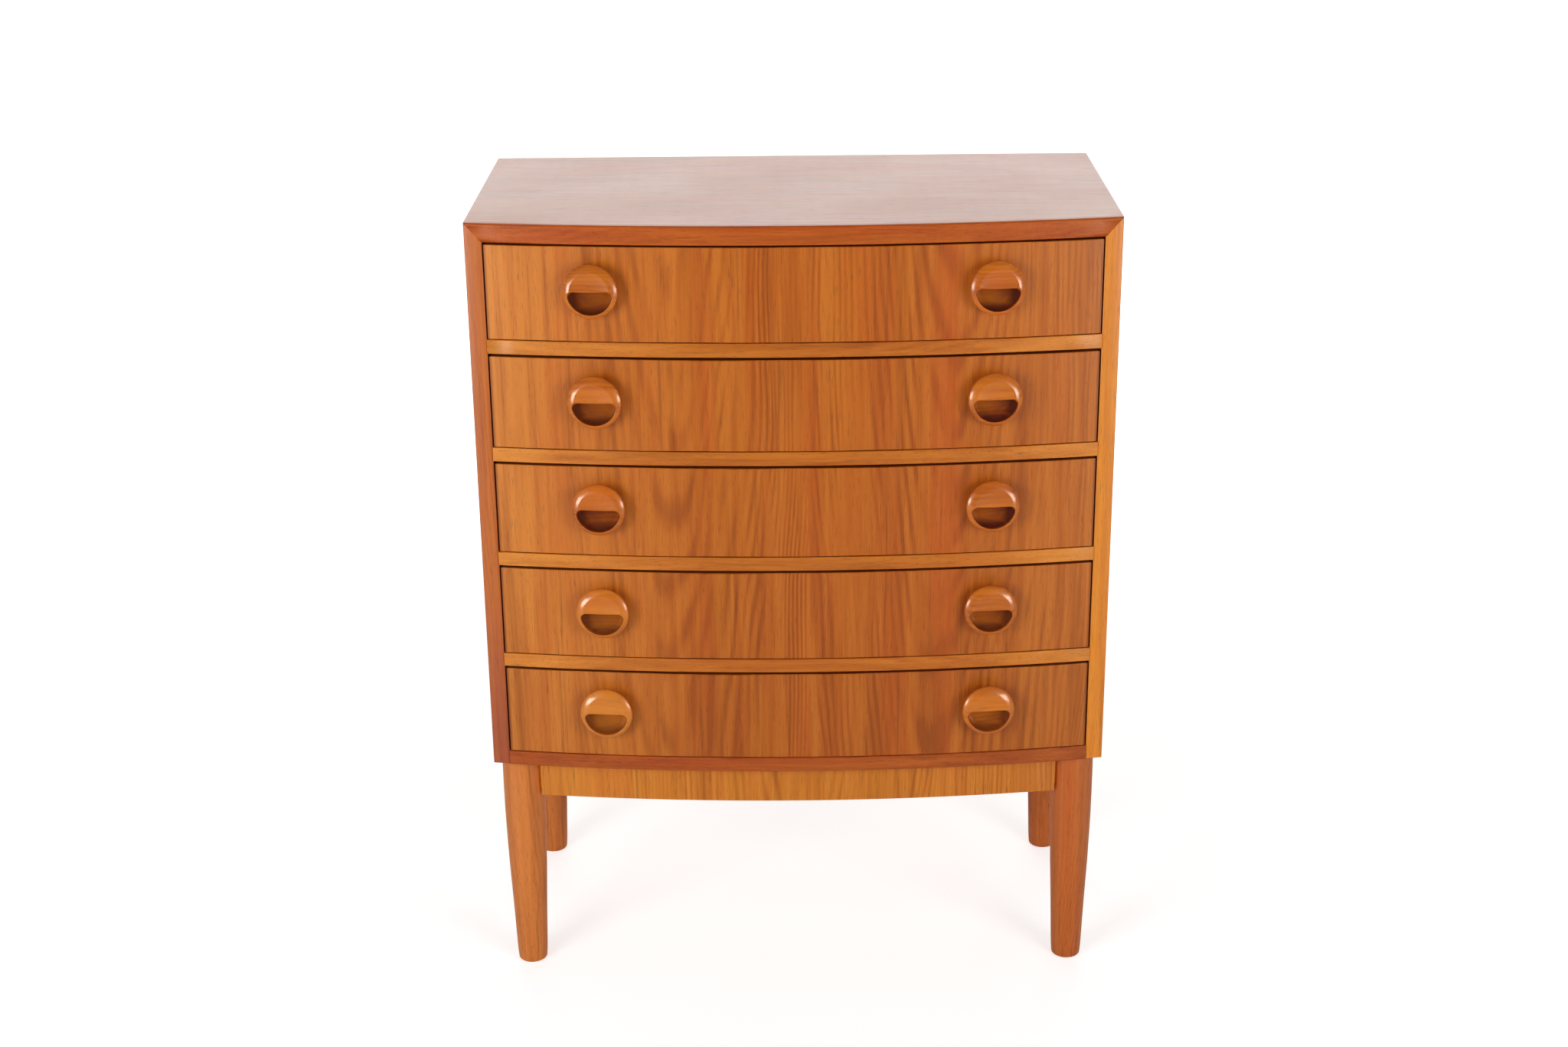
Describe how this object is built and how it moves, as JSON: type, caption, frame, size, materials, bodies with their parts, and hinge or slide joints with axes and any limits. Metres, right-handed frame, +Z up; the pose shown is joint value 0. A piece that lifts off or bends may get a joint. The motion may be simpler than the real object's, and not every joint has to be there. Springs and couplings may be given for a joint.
{
  "type": "chest of drawers",
  "caption": "Free-standing chest of drawers with a bowed front, half-moon turned knobs and round tapered legs.",
  "frame": {"origin": "on the floor, under the middle of the whole chest with its knobs", "axes": "+Z up, -Y out of the front with the drawers, +X to the right for someone in front of it"},
  "size_m": [0.74, 0.395, 0.958],
  "materials": {
    "teak_veneer": "teak veneer on board, satin oil and wax",
    "solid_teak": "solid teak, satin oil and wax",
    "beech": "beech, sanded and lightly sealed",
    "plywood": "plywood, sanded"
  },
  "bodies": {
    "carcass": {"top_panel": "teak_veneer", "left_side_panel": "teak_veneer", "right_side_panel": "teak_veneer", "bottom_panel": "teak_veneer", "top_lipping": "solid_teak", "left_lipping": "solid_teak", "right_lipping": "solid_teak", "bottom_lipping": "solid_teak", "rail_1": "solid_teak", "rail_2": "solid_teak", "rail_3": "solid_teak", "rail_4": "solid_teak", "back_panel": "plywood", "left_runners": "beech", "right_runners": "beech", "drawer_stops": "beech", "fixing_blocks": "beech", "front_apron": "teak_veneer", "back_apron": "teak_veneer", "left_apron": "teak_veneer", "right_apron": "teak_veneer", "front_left_leg": "solid_teak", "front_right_leg": "solid_teak", "back_left_leg": "solid_teak", "back_right_leg": "solid_teak"},
    "drawer_1": {"drawer_1_front": "teak_veneer", "drawer_1_left_side": "beech", "drawer_1_right_side": "beech", "drawer_1_back": "beech", "drawer_1_bottom": "plywood", "drawer_1_left_knob": "solid_teak", "drawer_1_right_knob": "solid_teak"},
    "drawer_2": {"drawer_2_front": "teak_veneer", "drawer_2_left_side": "beech", "drawer_2_right_side": "beech", "drawer_2_back": "beech", "drawer_2_bottom": "plywood", "drawer_2_left_knob": "solid_teak", "drawer_2_right_knob": "solid_teak"},
    "drawer_3": {"drawer_3_front": "teak_veneer", "drawer_3_left_side": "beech", "drawer_3_right_side": "beech", "drawer_3_back": "beech", "drawer_3_bottom": "plywood", "drawer_3_left_knob": "solid_teak", "drawer_3_right_knob": "solid_teak"},
    "drawer_4": {"drawer_4_front": "teak_veneer", "drawer_4_left_side": "beech", "drawer_4_right_side": "beech", "drawer_4_back": "beech", "drawer_4_bottom": "plywood", "drawer_4_left_knob": "solid_teak", "drawer_4_right_knob": "solid_teak"},
    "drawer_5": {"drawer_5_front": "teak_veneer", "drawer_5_left_side": "beech", "drawer_5_right_side": "beech", "drawer_5_back": "beech", "drawer_5_bottom": "plywood", "drawer_5_left_knob": "solid_teak", "drawer_5_right_knob": "solid_teak"}
  },
  "joints": [
    {"name": "drawer_1_slide", "type": "slide", "parent": "carcass", "child": "drawer_1", "axis": [0, -1, 0], "range_m": [0, 0.27]},
    {"name": "drawer_2_slide", "type": "slide", "parent": "carcass", "child": "drawer_2", "axis": [0, -1, 0], "range_m": [0, 0.27]},
    {"name": "drawer_3_slide", "type": "slide", "parent": "carcass", "child": "drawer_3", "axis": [0, -1, 0], "range_m": [0, 0.27]},
    {"name": "drawer_4_slide", "type": "slide", "parent": "carcass", "child": "drawer_4", "axis": [0, -1, 0], "range_m": [0, 0.27]},
    {"name": "drawer_5_slide", "type": "slide", "parent": "carcass", "child": "drawer_5", "axis": [0, -1, 0], "range_m": [0, 0.27]}
  ]
}
